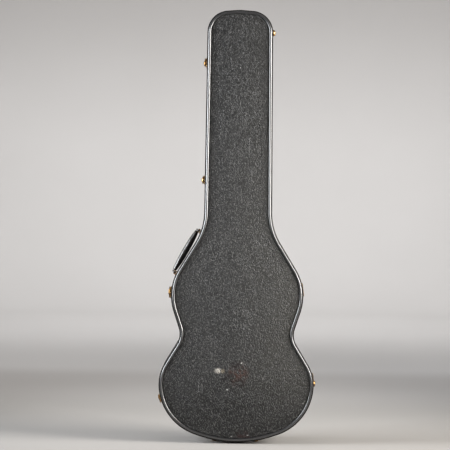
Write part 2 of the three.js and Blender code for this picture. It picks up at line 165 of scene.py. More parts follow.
def new_object(name, bm, body, slot, smooth_angle=40):
    """Turns a bmesh in millimetres, with z from the tail tip, into a piece that rides on a body."""
    bmesh.ops.transform(bm, matrix=Matrix.Translation((0, 0, FOOT_LIFT)), verts=bm.verts)
    bmesh.ops.scale(bm, vec=(MM, MM, MM), verts=bm.verts)
    bmesh.ops.recalc_face_normals(bm, faces=bm.faces)
    mesh = bpy.data.meshes.new(name)
    bm.to_mesh(mesh)
    bm.free()
    mesh.shade_smooth()
    mesh.set_sharp_from_angle(angle=math.radians(smooth_angle))
    piece = bpy.data.objects.new(name, mesh)
    bpy.context.scene.collection.objects.link(piece)
    mesh.materials.append(MATERIALS[slot])
    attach(piece, body)
    return piece


def rim_loop(bm, path, inset, y):
    """One loop of vertices round a path, at an inset from it and a depth."""
    return [bm.verts.new((p.x - inset * n.x, y, p.y - inset * n.y)) for p, n in path]


def bridge(bm, first, second):
    """Quads between two closed loops of as many vertices each."""
    count = len(first)
    for i in range(count):
        j = (i + 1) % count
        bm.faces.new((first[i], first[j], second[j], second[i]))


def skin(bm, loops):
    """Joins a row of closed loops into one closed skin, with a face over each end."""
    for first, second in zip(loops, loops[1:]):
        bridge(bm, first, second)
    bm.faces.new(loops[0])
    bm.faces.new(loops[-1])


def rim_ring(path, section):
    """A closed ring: a closed section of (inset, y) points swept round the path."""
    bm = bmesh.new()
    loops = [rim_loop(bm, path, inset, y) for inset, y in section]
    for i, loop in enumerate(loops):
        bridge(bm, loop, loops[(i + 1) % len(loops)])
    return bm


def rim_plate(path, profile):
    """A closed plate: the profile runs over its edge from the back face to the front face."""
    bm = bmesh.new()
    skin(bm, [rim_loop(bm, path, inset, y) for inset, y in profile])
    return bm


# ---- Material nodes ----------------------------------------------------------------------------------

class Nodes:
    """A small builder for one material's node tree."""

    def __init__(self, name):
        self.material = bpy.data.materials.new(name)
        self.material.use_nodes = True
        self.tree = self.material.node_tree
        self.shader = self.tree.nodes["Principled BSDF"]
        self.place = self.add("ShaderNodeTexCoord").outputs["Object"]

    def add(self, kind, **settings):
        node = self.tree.nodes.new(kind)
        for key, value in settings.items():
            setattr(node, key, value)
        return node

    def put(self, target, value):
        if isinstance(value, bpy.types.NodeSocket):
            self.tree.links.new(value, target)
        else:
            target.default_value = value

    def math(self, operation, *values):
        node = self.add("ShaderNodeMath", operation=operation)
        for socket, value in zip(node.inputs, values):
            self.put(socket, value)
        return node.outputs[0]

    def ramp(self, value, low, high, start=0.0, end=1.0):
        """Maps value from low..high smoothly to start..end."""
        node = self.add("ShaderNodeMapRange", interpolation_type="SMOOTHSTEP")
        for key, entry in zip(("Value", "From Min", "From Max", "To Min", "To Max"),
                              (value, low, high, start, end)):
            self.put(node.inputs[key], entry)
        return node.outputs["Result"]

    def mix(self, factor, first, second):
        node = self.add("ShaderNodeMix", data_type="RGBA")
        self.put(node.inputs["Factor"], factor)
        for key, value in (("A", first), ("B", second)):
            socket = [s for s in node.inputs if s.name == key and s.type == "RGBA"][0]
            self.put(socket, value if isinstance(value, bpy.types.NodeSocket) else (*value, 1))
        return [s for s in node.outputs if s.type == "RGBA"][0]

    def stretch(self, scale):
        """The place on the object, scaled by a different number along each axis."""
        node = self.add("ShaderNodeMapping")
        self.put(node.inputs["Vector"], self.place)
        node.inputs["Scale"].default_value = scale
        return node.outputs["Vector"]

    def noise(self, scale, detail=2.0, roughness=0.5, place=None):
        node = self.add("ShaderNodeTexNoise")
        self.put(node.inputs["Vector"], place or self.place)
        node.inputs["Scale"].default_value = scale
        node.inputs["Detail"].default_value = detail
        node.inputs["Roughness"].default_value = roughness
        return node.outputs["Fac"]

    def cells(self, scale, feature="F1", place=None):
        node = self.add("ShaderNodeTexVoronoi", feature=feature)
        self.put(node.inputs["Vector"], place or self.place)
        node.inputs["Scale"].default_value = scale
        return node.outputs["Distance"]

    def blob(self, centre, radii):
        """1 at a place on the object, in millimetres, falling to 0 at the given radii round it."""
        move = self.add("ShaderNodeVectorMath", operation="SUBTRACT")
        self.put(move.inputs[0], self.place)
        x, y, z = centre
        move.inputs[1].default_value = (x * MM, y * MM, (z + FOOT_LIFT) * MM)
        shrink = self.add("ShaderNodeVectorMath", operation="DIVIDE")
        self.put(shrink.inputs[0], move.outputs[0])
        shrink.inputs[1].default_value = tuple(r * MM for r in radii)
        length = self.add("ShaderNodeVectorMath", operation="LENGTH")
        self.put(length.inputs[0], shrink.outputs[0])
        return self.ramp(length.outputs["Value"], 0.3, 1.0, 1.0, 0.0)

    def bump(self, height, distance, strength=1.0):
        node = self.add("ShaderNodeBump")
        self.put(node.inputs["Height"], height)
        node.inputs["Distance"].default_value = distance
        node.inputs["Strength"].default_value = strength
        return node.outputs["Normal"]

    def finish(self, color, roughness, normal=None, **constants):
        self.put(self.shader.inputs["Base Color"],
                 color if isinstance(color, bpy.types.NodeSocket) else (*color, 1))
        self.put(self.shader.inputs["Roughness"], roughness)
        if normal is not None:
            self.put(self.shader.inputs["Normal"], normal)
        for key, value in constants.items():
            self.shader.inputs[key.replace("_", " ")].default_value = value
        return self.material


# Stains on the lid's face: centre (x, z) and radius in millimetres, and colour.
STAIN_DEPTH = 40
STAINS = [
    ((3, 170), 38, (0.052, 0.022, 0.015)),
    ((-2, 190), 20, (0.006, 0.006, 0.007)),
    ((-22, 158), 22, (0.007, 0.006, 0.007)),
    ((8, 148), 18, (0.006, 0.005, 0.005)),
    ((20, 6), 34, (0.022, 0.008, 0.008)),
]

# Scuffs on the lid's face: centre (x, z) and radii (x, z) in millimetres, and the colour that shows.
SCUFF_DEPTH = 30
SCUFFS = [
    ((-46, 178), (12, 9), (0.58, 0.55, 0.50)),
    ((-34, 177), (7, 8), (0.20, 0.17, 0.12)),
    ((13, 198), (3, 2.5), (0.5, 0.48, 0.45)),
    ((-22, 131), (4.5, 2.5), (0.42, 0.42, 0.42)),
    ((1, 937), (2, 2.5), (0.35, 0.35, 0.34)),
    ((168, 99), (2.5, 3), (0.38, 0.38, 0.37)),
    ((-10, 14), (4, 2), (0.30, 0.29, 0.28)),
    ((30, 17), (3, 2), (0.28, 0.27, 0.26)),
    ((67, 160), (3, 5), (0.16, 0.155, 0.15)),
    ((-94, 138), (1.3, 22), (0.15, 0.15, 0.15)),
    ((-85, 134), (1.3, 20), (0.13, 0.13, 0.13)),
    ((-48, 1036), (7, 3), (0.13, 0.13, 0.13)),
    ((3, 845), (1.6, 16), (0.11, 0.11, 0.11)),
    ((17, 805), (1.6, 26), (0.11, 0.11, 0.11)),
    ((26, 735), (1.6, 34), (0.10, 0.10, 0.10)),
    ((33, 670), (1.6, 30), (0.10, 0.10, 0.10)),
]


def warped_place(n):
    """The place on the object, shaken by noise and drawn out along Z, so that no pattern is regular."""
    warp = n.add("ShaderNodeTexNoise")
    n.put(warp.inputs["Vector"], n.place)
    warp.inputs["Scale"].default_value = 130
    sway = n.add("ShaderNodeVectorMath", operation="SCALE")
    n.put(sway.inputs[0], warp.outputs["Color"])
    sway.inputs["Scale"].default_value = 0.006
    moved = n.add("ShaderNodeVectorMath", operation="ADD")
    n.put(moved.inputs[0], n.place)
    n.put(moved.inputs[1], sway.outputs[0])
    drawn_out = n.add("ShaderNodeVectorMath", operation="MULTIPLY")
    n.put(drawn_out.inputs[0], moved.outputs[0])
    drawn_out.inputs[1].default_value = (1.0, 1.0, 0.66)
    return drawn_out.outputs[0]


def embossing(n, place):
    """How deep the covering is pitted and how far its web is raised, each from 0 to 1."""
    from_middle = n.math("ABSOLUTE", n.math("SUBTRACT", n.noise(185, 1.2, 0.5, place), 0.5))
    groove = n.ramp(from_middle, 0.0, 0.06, 1.0, 0.0)
    patch = n.ramp(n.noise(75, 2.0), 0.34, 0.60, 0.25, 1.0)
    dots = n.ramp(n.cells(250, place=place), 0.10, 0.46, 1.0, 0.0)
    pits = n.math("MULTIPLY", n.math("MAXIMUM", n.math("MULTIPLY", groove, 0.7), dots), patch)
    web = n.ramp(n.noise(330, 1.5, 0.5, place), 0.50, 0.68)
    return pits, web


def covering_color(n, cloud, pits, web):
    """Grey with painted light and shade: darker low down and towards the head as painted shade, lighter to
    the right as painted light, the raised web lighter as a painted highlight and the pits darker as painted
    shade.
    """
    axes = n.add("ShaderNodeSeparateXYZ")
    n.put(axes.inputs[0], n.place)
    x, z = axes.outputs["X"], axes.outputs["Z"]
    color = n.mix(cloud, (0.015, 0.0155, 0.0165), (0.030, 0.0295, 0.029))
    # painted light: lighter and warmer towards the right, where the warm right softbox falls on the face
    color = n.mix(n.ramp(x, -0.06, 0.17), color, (0.040, 0.0385, 0.034))
    # painted shade: darker towards the tail, where less of the side light falls
    color = n.mix(n.ramp(z, 0.01, 0.22, 1.0, 0.0), color, (0.006, 0.0058, 0.0055))
    # painted highlight: the raised web is lighter, as where side light catches its tops
    color = n.mix(n.math("MULTIPLY", web, 0.7), color, (0.105, 0.104, 0.099))
    # painted shade: the pits are near black, as shade in the hollows
    color = n.mix(n.math("MULTIPLY", pits, 0.9), color, (0.003, 0.003, 0.0035))
    # painted shade: darker towards the head, where less of the side light falls
    return n.mix(n.ramp(z, 0.5, 0.95, 0.0, 0.5), color, (0.005, 0.005, 0.0052))


def with_wear(n, color):
    """The covering's colour with the stains and, over them, the scuffs."""
    worn = n.ramp(n.noise(120, 3.0), 0.35, 0.6)
    for (x, z), radius, stain_color in STAINS:
        spot = n.blob((x, -FACE, z), (radius, STAIN_DEPTH, radius))
        color = n.mix(n.math("MULTIPLY", n.math("MULTIPLY", spot, worn), 0.85), color, stain_color)
    for (x, z), (radius_x, radius_z), scuff_color in SCUFFS:
        spot = n.blob((x, -FACE, z), (radius_x, SCUFF_DEPTH, radius_z))
        broken = n.ramp(n.noise(420, 2.0), 0.38, 0.5)
        color = n.mix(n.math("MULTIPLY", spot, broken), color, scuff_color)
    return color


def face_vinyl():
    """Dark grey embossed covering: pits and a raised web, stained and scuffed, with painted light and shade
    in its colour.
    """
    n = Nodes("textured_vinyl")
    pits, web = embossing(n, warped_place(n))
    grain = n.noise(900, 3.0, 0.6)
    cloud = n.noise(9, 3.0, 0.55)
    color = with_wear(n, covering_color(n, cloud, pits, web))
    relief = n.math("SUBTRACT", n.math("MULTIPLY", web, 0.5), pits)
    relief = n.math("ADD", relief, n.math("MULTIPLY", grain, 0.35))
    rough = n.ramp(n.math("ADD", cloud, n.math("MULTIPLY", grain, 0.3)), 0.3, 0.9, 0.42, 0.62)
    return n.finish(color, rough, n.bump(relief, 0.0010), Specular_IOR_Level=0.38)


def plain_vinyl(name, color, roughness, bump_scale, bump_depth, **gloss):
    """A covering of one colour with a fine grain."""
    n = Nodes(name)
    cloud = n.noise(14, 3.0)
    grain = n.noise(bump_scale, 3.0, 0.6)
    shade = tuple(c * 0.55 for c in color)
    base = n.mix(cloud, shade, color)
    unevenness = n.math("ADD", cloud, n.math("MULTIPLY", grain, 0.5))
    rough = n.ramp(unevenness, 0.4, 1.1, roughness - 0.08, roughness + 0.12)
    return n.finish(base, rough, n.bump(grain, bump_depth), **gloss)


def old_brass():
    """Lacquered brass gone brown, brighter where it is rubbed."""
    n = Nodes("aged_brass")
    cloud = n.noise(160, 4.0, 0.6)
    fine = n.noise(900, 2.0)
    base = n.mix(n.ramp(cloud, 0.35, 0.65), (0.13, 0.062, 0.021), (0.46, 0.275, 0.10))
    rough = n.ramp(n.math("ADD", cloud, n.math("MULTIPLY", fine, 0.3)), 0.4, 0.9, 0.24, 0.40)
    return n.finish(base, rough, n.bump(fine, 0.00008), Metallic=1.0)


def plush():
    """Short wine-red pile."""
    n = Nodes("plush_pile")
    nap = n.noise(1400, 3.0, 0.7)
    brushed = n.noise(26, 3.0)
    base = n.mix(n.ramp(brushed, 0.3, 0.7), (0.125, 0.008, 0.017), (0.175, 0.013, 0.025))
    base = n.mix(n.math("MULTIPLY", nap, 0.4), base, (0.30, 0.04, 0.055))
    normal = n.bump(n.math("ADD", nap, n.math("MULTIPLY", brushed, 0.8)), 0.0009, 0.9)
    return n.finish(base, 0.92, normal, Sheen_Weight=0.25, Sheen_Roughness=0.4)


def grip_leather():
    """Nearly black leather, polished by hands, with fine creases."""
    n = Nodes("handle_leather")
    creases = n.cells(420, "DISTANCE_TO_EDGE")
    cloud = n.noise(50, 3.0)
    base = n.mix(cloud, (0.006, 0.005, 0.0045), (0.018, 0.013, 0.010))
    normal = n.bump(n.math("ADD", n.ramp(creases, 0.0, 0.15), cloud), 0.0002, 0.35)
    return n.finish(base, n.ramp(cloud, 0.3, 0.7, 0.15, 0.26), normal, Specular_IOR_Level=0.6)


def lip_wood():
    """Dark wood with its streaks along Z."""
    n = Nodes("lip_wood")
    streak = n.noise(60, 5.0, 0.6, n.stretch((6, 6, 1)))
    base = n.mix(streak, (0.030, 0.017, 0.009), (0.085, 0.050, 0.028))
    return n.finish(base, n.ramp(streak, 0.3, 0.7, 0.35, 0.55), n.bump(streak, 0.0001))


MATERIALS = {
    "textured_vinyl": face_vinyl(),
    "smooth_vinyl": plain_vinyl("side_vinyl", (0.026, 0.024, 0.023), 0.60, 760, 0.0003,
                                Specular_IOR_Level=0.18),
    "piping_vinyl": plain_vinyl("piping_vinyl", (0.016, 0.016, 0.017), 0.36, 700, 0.00006,
                                Specular_IOR_Level=0.9,
                                Coat_Weight=0.8, Coat_IOR=1.7, Coat_Roughness=0.30),
    "brass": old_brass(),
    "plush": plush(),
    "lip_wood": lip_wood(),
    "handle_leather": grip_leather(),
}


# ---- Shell -------------------------------------------------------------------------------------------

def wall(side):
    """A side wall, rounded at the face edge and at the seam."""
    face_radius, seam_radius = 1.2, 0.8
    seam = SEAM + side * GAP / 2
    face = side * FACE
    section = [(face_radius - face_radius * math.cos(a), face - side * face_radius * (1 - math.sin(a)))
               for a in turns(90, 0, 5)]
    section += [(seam_radius - seam_radius * math.cos(a), seam + side * seam_radius * (1 - math.sin(a)))
                for a in turns(0, 90, 4)]
    section += [(WALL, seam), (WALL, face)]
    return rim_ring(outline, section)


def face_panel(side):
    """The flat panel, rolled over at its edge beside the piping."""
    edge, roll = BEAD_TO + GAP, 1.6
    profile = [(edge, side * (FACE - PANEL)), (edge, side * (FACE - roll))]
    profile += [(edge + roll * (1 - math.cos(a)), side * (FACE - roll * (1 - math.sin(a))))
                for a in turns(0, 90, 5)[1:]]
    return rim_plate(outline, profile)


def piping(side):
    """The bead round a face: a half round that stands proud, on a root between wall and panel."""
    middle = (BEAD_FROM + BEAD_TO) / 2
    half = (BEAD_TO - BEAD_FROM) / 2
    seat = FACE + 0.05
    crown = BEAD_PROUD - 0.05
    root = side * (FACE - PANEL)
    section = [(middle + half * math.cos(a), side * (seat + crown * math.sin(a)))
               for a in turns(0, 180, 14)]
    section += [(WALL + GAP, root), (BEAD_TO - 0.1, root)]
    return rim_ring(outline, section)


def shell():
    """The two halves: the body's side is +1, towards the back, and the lid's is -1."""
    for side, name in ((1, "body"), (-1, "lid")):
        walls = new_object(f"{name}_wall_covering", wall(side), name, "smooth_vinyl")
        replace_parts(walls, f"{name}_neck_wall", f"{name}_bout_wall")
        face = new_object(f"{name}_face_covering", face_panel(side), name, "textured_vinyl")
        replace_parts(face, f"{name}_panel")
        bead = new_object(f"{name}_piping", piping(side), name, "piping_vinyl")
        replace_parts(bead, f"{name}_binding")


shell()


# ---- Flat regions, filled with points that can swell -------------------------------------------------

INSIDE = 1                   # the triangulation that keeps what lies inside the outer loop
RIM_CLEARANCE = 0.7          # how much of a step stays free of points beside the rim
PLATE_STEP, RING_STEP = 9, 6
LINING_ROLL = {"side": 2.4, "floor": 2.0, "lid": 2.0}
LINING_RIPPLE = 0.55


def ring_points(path, inset):
    """The points of a path, each moved inwards."""
    return [p - inset * n for p, n in path]


def encloses(loop, place):
    """Whether a closed loop of points goes round a place."""
    crossings = 0
    for a, b in zip(loop, loop[1:] + loop[:1]):
        if (a.y > place.y) != (b.y > place.y):
            crossings += a.x + (place.y - a.y) * (b.x - a.x) / (b.y - a.y) > place.x
    return crossings % 2 == 1


def fill_region(outer, step, inner=None):
    """Triangles over the region inside one loop, and outside another if given, with points inside."""
    loops = [outer] + ([inner] if inner else [])
    points = [p for loop in loops for p in loop]
    edges, first = [], 0
    for loop in loops:
        edges += [(first + i, first + (i + 1) % len(loop)) for i in range(len(loop))]
        first += len(loop)
    rim = KDTree(len(points))
    for i, p in enumerate(points):
        rim.insert((p.x, p.y, 0), i)
    rim.balance()
    reach = max(p.x for p in outer)
    bottom, top = min(p.y for p in outer), max(p.y for p in outer)
    columns = math.ceil(reach / step)
    for j in range(math.floor((top - bottom) / step) + 1):
        for i in range(-columns, columns + 1):
            place = Vector(((i + (j % 2) / 2) * step, bottom + j * step))
            if rim.find((place.x, place.y, 0))[2] > step * RIM_CLEARANCE:
                points.append(place)
    filled = delaunay_2d_cdt(points, edges, [], INSIDE, 1e-6)
    corners, faces = filled[0], filled[2]
    if inner:
        middles = [sum((corners[i] for i in face), Vector((0, 0))) / len(face) for face in faces]
        faces = [face for face, middle in zip(faces, middles) if not encloses(inner, middle)]
    return corners, faces, rim


def swell(place, depth, fill, ripple, rim):
    """How far padding stands up at a place: it rises from its edge and is never quite level."""
    away = rim.find((place.x, place.y, 0))[2]
    rise = fill * (1 - math.exp(-away / depth))
    broad = noise.noise(Vector((place.x, place.y, 7)) / 34)
    fine = noise.noise(Vector((place.x, place.y, 3)) / 11)
    return rise + ripple * (broad + 0.5 * fine) * min(1, away / depth)


def pad_plate(outer_path, inset, back, front, roll, inner_path=None):
    """Padding with a rolled edge: flat at the back, swollen at the front."""
    toward = 1 if front > back else -1
    bm = bmesh.new()
    outer = ring_points(outer_path, inset + roll)
    inner = ring_points(inner_path, -roll) if inner_path else None
    places, faces, rim = fill_region(outer, RING_STEP if inner_path else PLATE_STEP, inner)
    seat = front - toward * roll * 0.5
    tops = []
    for place in places:
        height = swell(place, roll * 1.6, roll * 0.5, LINING_RIPPLE, rim)
        tops.append(bm.verts.new((place.x, seat + toward * height, place.y)))
    for face in faces:
        bm.faces.new([tops[i] for i in face])
    edges = [(outer_path, 1, inset)] + ([(inner_path, -1, 0)] if inner_path else [])
    for path, sign, base in edges:
        loops = [rim_loop(bm, path, base + sign * roll * (1 - math.cos(a)),
                          seat - toward * roll * (1 - math.sin(a))) for a in turns(0, 90, 4)]
        loops.insert(0, rim_loop(bm, path, base, back))
        for first, second in zip(loops, loops[1:]):
            bridge(bm, first, second)
    bmesh.ops.remove_doubles(bm, verts=bm.verts, dist=1e-3)
    bmesh.ops.delete(bm, geom=[v for v in bm.verts if not v.link_faces], context="VERTS")
    return bm


def lining():
    """The glued padding of the two halves."""
    back = FACE - PANEL - GAP
    side_front = SEAM + LIP_BELOW + GAP
    side = pad_plate(outline, WALL + GAP, back, side_front, LINING_ROLL["side"], cavity)
    floor = pad_plate(cavity, GAP, back, back - PAD, LINING_ROLL["floor"])
    lid = pad_plate(outline, BEAD_TO + GAP, -back, PAD - back, LINING_ROLL["lid"])
    for name, pad, body, node in (("body_side_lining", side, "body", "body_side_padding"),
                                  ("body_floor_lining", floor, "body", "body_floor_padding"),
                                  ("lid_lining", lid, "lid", "lid_padding")):
        piece = new_object(name, pad, body, "plush")
        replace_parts(piece, node)


def lip_strip():
    """The wooden lip that lines the lid up with the body, rounded along its free edge."""
    middle = WALL + GAP + LIP_THICKNESS / 2
    half = LIP_THICKNESS / 2
    foot = SEAM + LIP_BELOW
    section = [(middle + half * math.cos(a), SEAM - LIP_ABOVE + half * (1 - math.sin(a)))
               for a in turns(0, 180, 8)]
    section += [(middle - half, foot), (middle + half, foot)]
    lip = new_object("body_lip_strip", rim_ring(outline, section), "body", "lip_wood")
    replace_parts(lip, "body_lip")


def soft_box(low, high, roll, step, ripple):
    """A box of padding with rolled edges and a surface that is never quite level."""
    bm = bmesh.new()
    size = [h - l for l, h in zip(low, high)]
    bmesh.ops.create_cube(bm, size=1.0)
    for axis in range(3):
        count = max(2, math.ceil(size[axis] / step))
        for k in range(1, count):
            plane, normal = [0, 0, 0], [0, 0, 0]
            plane[axis] = k / count - 0.5
            normal[axis] = 1
            everything = bm.verts[:] + bm.edges[:] + bm.faces[:]
            bmesh.ops.bisect_plane(bm, geom=everything, plane_co=plane, plane_no=normal)
    for vert in bm.verts:
        place = Vector([l + (c + 0.5) * s for l, c, s in zip(low, vert.co, size)])
        core = Vector([min(max(p, l + roll), h - roll) for p, l, h in zip(place, low, high)])
        away = place - core
        if away.length > 0:
            wave = ripple * noise.noise(place / 13)
            place = core + away.normalized() * (roll - abs(wave))
        vert.co = place
    return bm


def soften(piece, levels):
    """Adds a subdivision that rounds the piece off."""
    smooth = piece.modifiers.new("smooth", "SUBSURF")
    smooth.levels = smooth.render_levels = levels
    return piece


def cradle_section():
    """The cradle from its end, as (x, y): a block with rolled corners and a round notch for the neck."""
    roll, notch = 3.0, CRADLE["half_width"]
    shoulder = CHANNEL_HALF - notch - 2 * roll
    left = [(-CHANNEL_HALF, FLOOR_TOP), (-CHANNEL_HALF, roll),
            (-CHANNEL_HALF + roll * 0.3, roll * 0.3), (-CHANNEL_HALF + roll, 0)]
    left += [(-CHANNEL_HALF + roll + t * shoulder / 3, 0) for t in (1, 2, 3)]
    hollow = CRADLE["depth"] - roll * 0.4
    bowl = [(notch * math.cos(a), roll * 0.4 + hollow * math.sin(a))
            for a in (math.pi * (1 - k / 16) for k in range(17))]
    right = [(-x, y) for x, y in reversed(left)]
    return left + bowl + right


def cradle():
    """A padded rest: the section drawn along Z, pulled in at both ends."""
    bm = bmesh.new()
    ripple = 0.25
    stations = [(0, 2.2), (0.5, 1.0), (1.6, 0.25), (3.5, 0), (8, 0), (13, 0)]
    stations += [(CRADLE["length"] - d, pull) for d, pull in reversed(stations[:-1])]
    centre = Vector((0, FLOOR_TOP))
    loops = []
    for z, pull in stations:
        loop = []
        for x, y in cradle_section():
            inward = centre - Vector((x, y))
            inward = inward.normalized() * pull if inward.length > pull else Vector((0, 0))
            wave = ripple * noise.noise(Vector((x, y, z)) / 9)
            lift = 0 if y > FLOOR_TOP - 1 else wave + ripple
            loop.append(bm.verts.new((x + inward.x, y + inward.y + lift, CRADLE["z"] + z)))
        loops.append(loop)
    skin(bm, loops)
    return bm


def pocket_board(name, low, high, body):
    """One covered board of the accessory pocket."""
    board = soft_box(low, high, **POCKET_PADDING)
    return soften(new_object(name, board, body, "plush", 180), 1)


def inside():
    """The neck's rest and the accessory pocket."""
    rest = new_object("neck_cradle_cover", cradle(), "body", "plush", 60)
    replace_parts(rest, "neck_cradle")
    for name, low in (("lower", POCKET["low"]), ("upper", POCKET["high"])):
        board = pocket_board(f"pocket_wall_{name}_cover", (-CHANNEL_HALF, POCKET["top"], low),
                             (CHANNEL_HALF, FLOOR_TOP, low + POCKET["wall"]), "body")
        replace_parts(board, f"pocket_wall_{name}")
    side_clearance = 2
    half = CHANNEL_HALF - side_clearance
    back = POCKET["top"] - GAP
    front = back - POCKET["lid"]
    low_z = POCKET["low"] + POCKET["wall"] / 2
    lid = pocket_board("pocket_lid_cover", (-half, front, low_z),
                       (half, back, POCKET["hinge_z"] - GAP), "pocket_lid")
    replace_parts(lid, "pocket_lid")
    pull_tab(front - GAP, low_z)


def pull_tab(back, low_z):
    """A short leather tongue with a rounded end, laid on the pocket's lid."""
    bm = bmesh.new()
    half, length, thick, edge = POCKET["tab"] / 2, 20, 1.5, 0.35
    end = half * 0.7
    shape = [(-half, length), (-half, end)]
    shape += [(half * math.cos(a), end * (1 - math.sin(a))) for a in turns(180, 0, 14)]
    shape += [(half, end), (half, length)]
    loops = []
    for depth, pull in ((0, edge), (edge, 0), (thick - edge, 0), (thick, edge)):
        narrow, short = 1 - pull / half, 1 - pull / length
        loops.append([bm.verts.new((x * narrow, back - depth, low_z + pull + z * short)) for x, z in shape])
    skin(bm, loops)
    bmesh.ops.remove_doubles(bm, verts=bm.verts, dist=1e-4)
    tab = new_object("pocket_pull_tongue", bm, "pocket_lid", "handle_leather", 50)
    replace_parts(tab, "pocket_pull_tab")


lining()
lip_strip()
inside()


# ---- Frames on the side wall -------------------------------------------------------------------------

def rim_at_height(z, side):
    """The outline's point and normal at a height, on the right for side 1 and the left for -1."""
    for i, (p, n) in enumerate(outline):
        q = outline[(i + 1) % len(outline)][0]
        if (p.y - z) * (q.y - z) <= 0 and p.y != q.y and p.x * side > 0:
            return p.lerp(q, (z - p.y) / (q.y - p.y)), n
    raise ValueError(f"the outline never reaches {z}")


def rim_frame(place, y):
    """Local X out of the wall, local Y towards the back, local Z along the rim."""
    point, normal = place
    out = Vector((normal.x, 0, normal.y))
    depth = Vector((0, 1, 0))
    along = out.cross(depth)
    axes = Matrix((out, depth, along)).transposed().to_4x4()
    return Matrix.Translation((point.x, y, point.y)) @ axes


def hinge_places():
    """Both hinges on one straight line, which stands off the upper and lower bouts alike."""
    arcs = corner_arcs(whole(OUTLINE))
    upper, lower = (arcs[i] for i in HINGE_BOUTS.values())
    across = upper[0] - lower[0]
    angle = math.atan2(across.y, across.x) - math.acos((lower[1] - upper[1]) / across.length)
    normal = Vector((math.cos(angle), math.sin(angle)))
    return {name: (arc[0] + normal * (arc[1] + HINGE_STAND_OFF), normal)
            for name, arc in zip(HINGE_BOUTS, (upper, lower))}


def placed(name, bm, where, slot, body, smooth_angle=40):
    """A piece that is modelled in a frame of its own."""
    bmesh.ops.transform(bm, matrix=where, verts=bm.verts)
    return new_object(name, bm, body, slot, smooth_angle)


def lathe(profile, steps=40):
    """A solid turned round local X: the profile is (radius, x) from its base to its tip."""
    bm = bmesh.new()
    circle = [2 * math.pi * k / steps for k in range(steps)]
    loops = []
    for radius, x in profile:
        around = circle if radius else [0]
        loops.append([bm.verts.new((x, radius * math.cos(a), radius * math.sin(a))) for a in around])
    for first, second in zip(loops, loops[1:]):
        if len(first) == 1 or len(second) == 1:
            tip, ring = (first[0], second) if len(first) == 1 else (second[0], first)
            for i in range(steps):
                bm.faces.new((tip, ring[i], ring[(i + 1) % steps]))
        else:
            bridge(bm, first, second)
    return bm


def rivets(name, body, where, places, radius=1.7, height=0.8):
    """Low domed heads on a plate: places are (x, y, z) in the frame."""
    dome = [(radius * math.cos(a), height * math.sin(a)) for a in turns(0, 90, 5)[1:-1]]
    whole_set = bmesh.new()
    for place in places:
        head = lathe([(radius, 0)] + dome + [(0, height)], 16)
        bmesh.ops.translate(head, verts=head.verts, vec=place)
        copy = bpy.data.meshes.new("rivet")
        head.to_mesh(copy)
        head.free()
        whole_set.from_mesh(copy)
        bpy.data.meshes.remove(copy)
    placed(name, whole_set, where, "brass", body, 60)


# ---- Latches -----------------------------------------------------------------------------------------

def lever_sheet(half_width):
    """A pressed sheet, bowed across its width, that turns down at its front and dips at its free end."""
    bm = bmesh.new()
    half = half_width - LEVER["inset"]
    across, along = 16, 18
    front, end = LEVER_FRONT, LEVER["end"]

    def height(u, y):
        crown = LEVER["crown"] - LEVER["drop"] * u * u
        roll = max(0, 1 - (y - front) / LEVER_ROLL["length"])
        tail = max(0, (y - end + LEVER_TAIL["length"]) / LEVER_TAIL["length"])
        return crown - LEVER_ROLL["drop"] * roll * roll - LEVER_TAIL["drop"] * tail * tail * (3 - 2 * tail)

    def sheet(offset):
        rows = []
        for j in range(along + 1):
            v = (j / along) ** 1.25
            y = front + (end - front) * v
            narrow = 1 - 0.10 * max(0, (v - 0.75) / 0.25) ** 2
            rows.append([bm.verts.new((height(u, y) - offset, y, half * narrow * u))
                         for u in (2 * i / across - 1 for i in range(across + 1))])
        return rows

    outer, inner = sheet(0), sheet(LEVER["sheet"])
    for rows in (outer, inner):
        for j in range(along):
            for i in range(across):
                bm.faces.new((rows[j][i], rows[j][i + 1], rows[j + 1][i + 1], rows[j + 1][i]))
    for j in range(along):
        for i in (0, across):
            bm.faces.new((outer[j][i], outer[j + 1][i], inner[j + 1][i], inner[j][i]))
    for i in range(across):
        for j in (0, along):
            bm.faces.new((outer[j][i], outer[j][i + 1], inner[j][i + 1], inner[j][i]))
    bmesh.ops.recalc_face_normals(bm, faces=bm.faces)
    return bm


def add_prism(bm, loop, z0, z1):
    """Adds a closed prism: a loop of (x, y) points from z0 to z1."""
    ends = [[bm.verts.new((x, y, z)) for x, y in loop] for z in (z0, z1)]
    bridge(bm, *ends)
    bm.faces.new(ends[0])
    bm.faces.new(ends[1])


def capsule_loop(a, b, radius, steps=8):
    """A slot shape round two centres, as (x, y) points."""
    angle = math.atan2(b[1] - a[1], b[0] - a[0])
    points = []
    for (cx, cy), start in ((b, angle - math.pi / 2), (a, angle + math.pi / 2)):
        points += [(cx + radius * math.cos(start + math.pi * k / steps),
                    cy + radius * math.sin(start + math.pi * k / steps)) for k in range(steps + 1)]
    return points


def latches():
    """Each lever's sheet with its two ears, and the rivets of its base and catch."""
    for name, (z, half_width) in LATCHES.items():
        place = rim_frame(rim_at_height(z, -1), SEAM)
        lever = lever_sheet(half_width)
        ear = capsule_loop(LEVER_EAR["pin"], LEVER_EAR["rod"], LEVER_EAR["radius"])
        half = half_width - LEVER["inset"]
        for side in (-1, 1):
            add_prism(lever, ear, side * half, side * (half - LEVER_EAR_THICKNESS))
        piece = placed(f"latch_{name}_lever_sheet", lever, place, "brass", f"latch_{name}_lever", 35)
        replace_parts(piece, f"latch_{name}_lever")
        spread = half_width - 2.6
        base_places = [(1.3, y, side * spread) for y in (6, 26.5) for side in (-1, 1)]
        catch_places = [(1.3, -12.6, side * spread) for side in (-1, 0, 1)]
        rivets(f"latch_{name}_base_rivets", "body", place, base_places)
        rivets(f"latch_{name}_catch_rivets", "lid", place, catch_places)


# ---- Hinges, feet ------------------------------------------------------------------------------------

